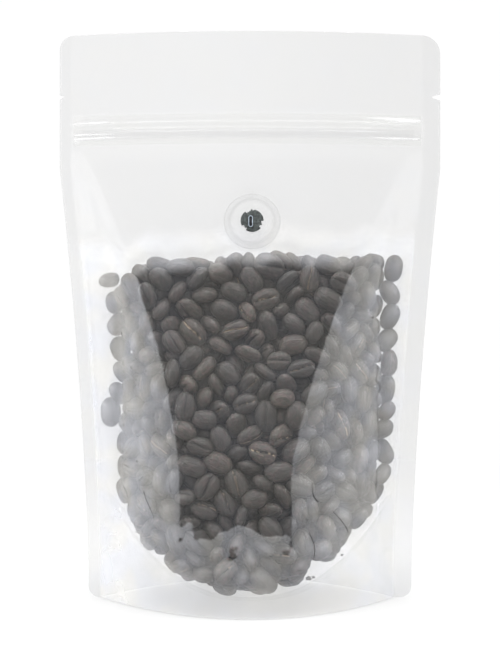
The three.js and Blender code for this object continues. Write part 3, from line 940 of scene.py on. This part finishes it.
def beanShape(rng):  # one bean: a round back, a flatter face and the curved groove along it
    p = beanForm
    along = np.cos(np.linspace(math.pi, 0, p["rings"] + 2))[1:-1]
    overBack = np.linspace(0, math.pi, 10)[:-1]
    under = np.array([1, 0.82, 0.52, 0.2, 0.08, 0, -0.08, -0.2, -0.52, -0.82])
    blunt = rng.uniform(2.1, 2.7)
    lopsided = rng.uniform(-0.1, 0.1)
    bend = rng.uniform(0.2, 0.7) * rng.choice([-1, 1])
    wide = p["halfWidth"] * rng.uniform(0.93, 1.07)
    back = p["back"] * rng.uniform(0.88, 1.1)
    face = p["face"] * rng.uniform(0.85, 1.1)
    deep = p["groove"] * rng.uniform(0.7, 1.2)
    rings, tones = [], []
    for u in along:
        girth = (1 - abs(u) ** blunt) ** 0.49 * (1 + lopsided * u)
        crown = (1 - abs(u) ** 2.3) ** 0.5
        backX = wide * girth * np.cos(overBack)
        backZ = back * crown * np.sin(overBack) ** 0.92
        across = np.abs(under) * wide * girth
        cut = np.exp(-((across / p["grooveWidth"]) ** 2) / 2) * (1 - abs(u) ** 7)
        lip = np.exp(-(((across - 1.2) / 0.9) ** 2)) * 0.2
        seam = bend * math.sin(2.4 * u) * min(1, 2.2 * girth)
        faceX = -wide * girth * under + seam * np.exp(-((under / 0.6) ** 2))
        faceZ = -face * crown * (1 - np.abs(under) ** 3.2) - lip * crown + deep * cut * crown
        x, z = np.concatenate([backX, faceX]), np.concatenate([backZ, faceZ])
        rings.append(np.stack([np.full_like(x, u * p["halfLength"]), x, z], -1))
        tones.append(np.concatenate([0 * backX, cut]))
    points, faces = closedRings(rings, [[-p["halfLength"], 0, 0.1], [p["halfLength"], 0, 0.1]])
    points[:, 2] -= (back - face) / 2
    lumps = np.sin(points @ rng.normal(0, 0.5, (3, 4)) + rng.uniform(0, 6, 4)).sum(1)
    points = points * (1 + 0.015 * lumps)[:, None]
    return points, np.concatenate(tones + [[0, 0]]), faces


def pressInside(points):  # what pokes through the film goes back in, and what still touches is flattened
    clearance = beanForm["clearance"]
    rows = np.arange(len(points))
    for _ in range(10):
        gaps, ways = wallGaps(points, 0)
        for gap, way in zip(gaps, ways):
            worst = gap.argmin(1)
            push = np.maximum(clearance - gap[rows, worst], 0)
            points = points + (way[rows, worst] * push[:, None])[:, None]
    gaps, ways = wallGaps(points, 0)
    for gap, way in zip(gaps, ways):
        points = points + way * np.maximum(clearance - gap, 0)[..., None]
    return points


def makeBeans():
    spot, turn, size = settleBeans()
    rng = np.random.default_rng(31)
    shapes, folds, faces = zip(*[beanShape(rng) for _ in range(beanForm["variants"])])
    shapes, folds, faces = np.stack(shapes), np.stack(folds), faces[0]
    count, each = len(spot), shapes.shape[1]
    which = rng.integers(0, len(shapes), count)
    stretch = rng.uniform(0.95, 1.04, (count, 3)) * size[:, None]
    grain = shapes[which] * stretch[:, None]
    points = pressInside(spot[:, None] + np.einsum("nij,nkj->nki", turn, grain))
    grain = grain + rng.uniform(0, 40, (count, 1, 3))
    roast = rng.uniform(0, 1, count)
    draw = rng.uniform(0, 1, count)
    heap = BVHTree.FromPolygons(points.reshape(-1, 3).tolist(), copiesOf(faces, count, each))
    start = 0.0
    for name, kind in beanKinds.items():
        chosen = np.nonzero((draw >= start) & (draw < start + kind["share"]))[0]
        start += kind["share"]
        tones = {
            "fold": folds[which[chosen]].ravel(),
            "roast": np.repeat(roast[chosen], each),
            "grain": grain[chosen].reshape(-1, 3),
        }
        grains, skins = points[chosen].reshape(-1, 3), copiesOf(faces, len(chosen), each)
        makePiece(name, grains, skins, roastedBean(name, kind), ["pouch"], tones=tones)
        print(name, len(chosen), "beans")
    return heap


def roastedBean(name, kind):  # drum-roasted arabica: dry matt skin creased along, chaff in the groove
    look = {
        "crease": 1.35,  # the real creases are half as wide, too fine to show
        "mottle": 2.6,
        "fleck": 1.3,
        "grain": 0.55,
        # painted shade in the groove
        "groove": "#1a1614",
        "pink": "#fcdfde",
        "olive": "#dae4d0",
    }
    material, add = newMaterial("roastedBean_" + name.split("_")[1])
    roast = add("Attribute", out="Fac", attribute_name="roast")
    fold = add("Attribute", out="Fac", attribute_name="fold")
    grain = add("Attribute", out="Vector", attribute_name="grain")
    along = add("Mapping", {"Vector": grain, "Scale": (0.3, 1, 1)})
    crease = add(
        "TexNoise", {"Vector": along, "Scale": 1 / look["crease"], "Detail": 3.0, "Distortion": 0.9}
    )
    mottle = add("TexNoise", {"Vector": grain, "Scale": 1 / look["mottle"], "Detail": 3.0})
    fleck = add("TexNoise", {"Vector": grain, "Scale": 1 / look["fleck"], "Detail": 2.0})
    speck = add("TexNoise", {"Vector": grain, "Scale": 1 / look["grain"], "Detail": 1.0})

    # the roast of the bean, its patches and specks, and painted shade along its creases
    light = add("MapRange", [roast, 0, 1, 1 - kind["spread"], 1 + kind["spread"]])
    patch = add("MapRange", [mottle, 0.3, 0.7, 0.7, 1.3])
    # painted shade and light: darker down the creases, lighter on the ridges between them
    fine = add("MapRange", [crease, 0.3, 0.7, 0.7, 1.3])
    specks = add("MapRange", [speck, 0.35, 0.65, 0.6, 1.4])
    level = light
    for share in (patch, fine, specks):
        level = add("Math", [level, share], "MULTIPLY")
    hue = add("MapRange", [fleck, 0.38, 0.62])
    cast = add("Mix", {"Factor": hue, "A": look["olive"], "B": look["pink"]}, data_type="RGBA")
    skin = add("VectorMath", [cast, hexColour(kind["skin"])[:3]], "MULTIPLY")
    skin = add("VectorMath", {0: skin, "Scale": level}, "SCALE")

    # the groove is a dark line of painted shade, with chaff left in parts of some
    chaffy = add("Math", [fleck, roast], "MULTIPLY")
    chaff = add("MapRange", [chaffy, 0.34, 0.42])
    grooveShadeAndChaff = add("Mix", {"Factor": chaff, "A": look["groove"], "B": kind["chaff"]}, data_type="RGBA")
    groove = add("MapRange", [fold, 0.45, 0.75])
    tone = add("Mix", {"Factor": groove, "A": skin, "B": grooveShadeAndChaff}, data_type="RGBA")
    relief = add("Bump", {"Height": crease, "Strength": 0.75, "Distance": 0.7 * mm})
    shader = add(
        "BsdfPrincipled",
        {"Base Color": tone, "Normal": relief, "Roughness": 0.55, "Specular IOR Level": 0.4},
    )
    add("OutputMaterial", {"Surface": shader})
    return material


def makeCrumbs():  # chips of bean that lie in the fold between panel and gusset
    rng = np.random.default_rng(5)
    spots = [(22.2, 1.0), (23.6, 0.6), (-31, 0.7), (-8, 0.6), (35, 0.55), (-44, 0.5)]
    turn = np.linspace(0, 2 * math.pi, 8)[:-1]
    rings = [levelRing(turn, math.sin(tilt), math.cos(tilt)) for tilt in np.linspace(0, math.pi, 6)[1:-1]]
    sphere, faces = closedRings(rings, [(0, 0, 1), (0, 0, -1)])
    faces = copiesOf([face[::-1] for face in faces], len(spots), 30)
    points = []
    for x, size in spots:
        chip = sphere * rng.uniform(0.75, 1.2, (30, 1)) * size * np.array([1.2, 0.7, 0.8])
        z = float(baseSealHeight(x)) + 1.0
        y = float(filmY(x, z, -1)) + 1.1
        points.append(chip + [x, y, z])
    points = pressInside(np.stack(points)).reshape(-1, 3)
    kind = beanKinds["beans_dark"]
    tones = {"fold": np.zeros(len(points)), "roast": np.full(len(points), 0.5), "grain": points}
    makePiece("bean_crumbs", points, faces, roastedBean("bean_crumbs", kind), ["pouch"], tones=tones)


def makeHeapCore():  # the dark inside of the heap, behind two layers of beans
    inset = heapForm["coreDepth"] + 1.5
    rings = []
    share = np.cos(np.linspace(math.pi, 0, 25))
    for z in np.linspace(heapForm["coreDepth"] + 3, heapForm["level"] - 8, 26):
        probe = np.linspace(-60, 60, 481)
        depth = bulge(z) * fullness(probe, z) - inset
        room = (depth > 0.4) & (gussetFloor(probe, 0 * probe, 1) + inset < z) & (heapTop(probe) - 8 > z)
        if not room.any():
            continue
        low, high = probe[room].min(), probe[room].max()
        x = low + (high - low) * (share + 1) / 2
        half = np.maximum(bulge(z) * fullness(x, z) - inset, 0.3)
        half = np.minimum(half, 0.3 + 1.2 * np.minimum(x - low, high - x))
        front = np.stack([x, -half - bow(x, z), z + 0 * x], -1)
        back = np.stack([x, half - bow(x, z), z + 0 * x], -1)[::-1][1:-1]
        rings.append(np.concatenate([front, back]))
    points, faces = closedRings(rings, [rings[0].mean(0), rings[-1].mean(0)])
    makePiece("bean_core", points, faces, shadedBeans(), ["pouch"])


def shadedBeans():  # beans deep in the heap, where hardly any light comes
    material, add = newMaterial("shadedRoastedBeans")
    place = add("TexCoord", out="Object")
    cells = add("TexVoronoi", {"Vector": place, "Scale": 1 / (9 * mm)})
    ramp = add("Mix", {"Factor": cells, "A": "#241e1b", "B": "#141110"}, data_type="RGBA")
    shader = add("BsdfPrincipled", {"Base Color": ramp, "Roughness": 0.7})
    add("OutputMaterial", {"Surface": shader})
    return material


# stage

stageForm = {
    "distance": 468,
    "eye": 108,
    "focalPixels": 1179,
    "longSidePixels": 650,
    "floor": "#808080",
    "floorGlow": 0.53,
    "tentSides": 0.45,
    "tentTop": 1.6,
    "softboxes": [
        {"name": "softboxTop", "at": (0, -0.05, 0.8), "size": 0.6, "power": 10},
        {"name": "softboxLeft", "at": (-0.95, -0.35, 0.45), "size": 0.7, "power": 7},
        {"name": "softboxRight", "at": (0.95, -0.35, 0.45), "size": 0.7, "power": 5},
    ],
}


def makeStage():
    p = stageForm
    camera = bpy.data.cameras.new("view")
    camera.sensor_fit = "AUTO"
    camera.sensor_width = 36
    camera.lens = p["focalPixels"] * 36 / p["longSidePixels"]
    camera.clip_start = 0.01
    view = bpy.data.objects.new("view", camera)
    view.location = (0, -p["distance"] * mm, p["eye"] * mm)
    view.rotation_euler = (math.pi / 2, 0, 0)
    bpy.context.collection.objects.link(view)
    bpy.context.scene.camera = view

    bpy.ops.mesh.primitive_circle_add(vertices=96, radius=2, fill_type="NGON", location=(0, 0, -0.0004))
    floor = bpy.context.object
    floor.name = "floor"
    # opal acrylic, cast and lit from below, so shadows are faint
    material, add = newMaterial("backlitAcrylicTable")
    place = add("TexCoord", out="Object")
    away = add("VectorMath", [place], "LENGTH")
    far = add("MapRange", [away, 0.12, 0.5])
    diffuse = add("BsdfDiffuse", {"Color": p["floor"]})
    glow = add("Emission", {"Strength": p["floorGlow"]})
    near = add("AddShader", [diffuse, glow])
    white = add("Emission", {"Strength": 1.01})
    both = add("MixShader", [far, near, white])
    add("OutputMaterial", {"Surface": both})
    floor.data.materials.append(material)

    # white to look at, and brighter overhead than round the sides
    world = bpy.data.worlds.new("lightTent")
    bpy.context.scene.world = world
    world.use_nodes = True
    world.node_tree.nodes.clear()
    add = partial(addNode, world.node_tree)
    way = add("TexCoord", out="Generated")
    height = add("SeparateXYZ", {"Vector": way}, out="Z")
    strength = add("MapRange", [height, 0.0, 0.9, p["tentSides"], p["tentTop"]])
    lit = add("Background", {"Color": (1, 1, 1, 1), "Strength": strength})
    seen = add("Background", {"Color": (1, 1, 1, 1), "Strength": 1.01})
    camera = add("LightPath", out="Is Camera Ray")
    both = add("MixShader", [camera, lit, seen])
    add("OutputWorld", {"Surface": both})

    for box in p["softboxes"]:
        lamp = bpy.data.lights.new(box["name"], "AREA")
        lamp.shape = "SQUARE"
        lamp.size = box["size"]
        lamp.energy = box["power"]
        light = bpy.data.objects.new(box["name"], lamp)
        light.location = box["at"]
        aim = np.array([0, 0, 0.1]) - np.array(box["at"])
        tilt = math.atan2(math.hypot(aim[0], aim[1]), -aim[2])
        light.rotation_euler = (tilt, 0, math.atan2(aim[1], aim[0]) - math.pi / 2)
        bpy.context.collection.objects.link(light)
    bpy.context.scene.view_settings.view_transform = "Standard"
    bpy.context.scene.cycles.transparent_max_bounces = 48


print("beans")
heap = makeBeans()
makeCrumbs()
makeHeapCore()
print("film")
makeFilm(heap)
print("zip")
makeZip()
print("valve")
makeValveRing()
makeMembrane()
makeSlot()
print("stage")
makeStage()
